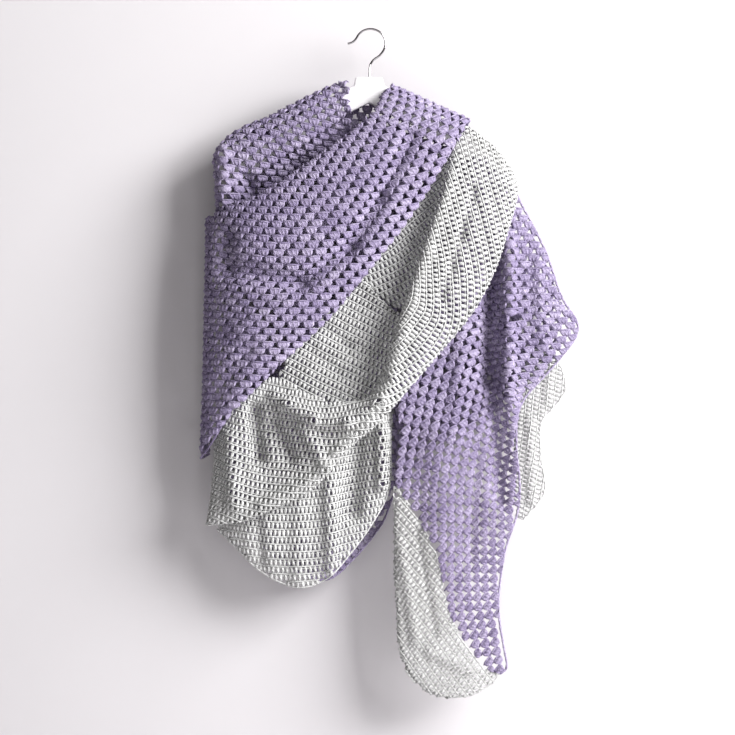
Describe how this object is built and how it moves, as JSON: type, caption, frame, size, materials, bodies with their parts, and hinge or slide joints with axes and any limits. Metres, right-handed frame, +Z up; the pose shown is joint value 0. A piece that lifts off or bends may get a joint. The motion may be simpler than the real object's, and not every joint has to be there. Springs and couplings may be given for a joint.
{
  "type": "blanket scarf on a hanger",
  "caption": "Large open-work crochet wrap in lilac with a pale grey border, wound over a painted wooden hanger with a wire hook.",
  "frame": {"origin": "seat of the hanger's hook, at the top of the inside of its curve, where it hangs from a nail or rail", "axes": "+Z up along the hanging scarf, +X along the hanger to the viewer's right, -Y towards the viewer"},
  "size_m": [0.5669, 0.1211, 1.0028],
  "materials": {
    "lilac_yarn": "soft brushed yarn, matte",
    "grey_yarn": "soft brushed yarn, matte",
    "white_paint": "satin paint on wood",
    "hook_steel": "bright plated wire"
  },
  "bodies": {
    "root": {"collar": "lilac_yarn", "front_wrap": "lilac_yarn", "tail_lilac": "lilac_yarn", "back_panel": "lilac_yarn", "grey_inner": "grey_yarn", "grey_pocket": "grey_yarn", "grey_swag": "grey_yarn", "lower_lobe": "grey_yarn", "tail_grey": "grey_yarn", "corner_grey": "grey_yarn", "hanger_body": "white_paint", "hanger_hook": "hook_steel"}
  },
  "joints": []
}
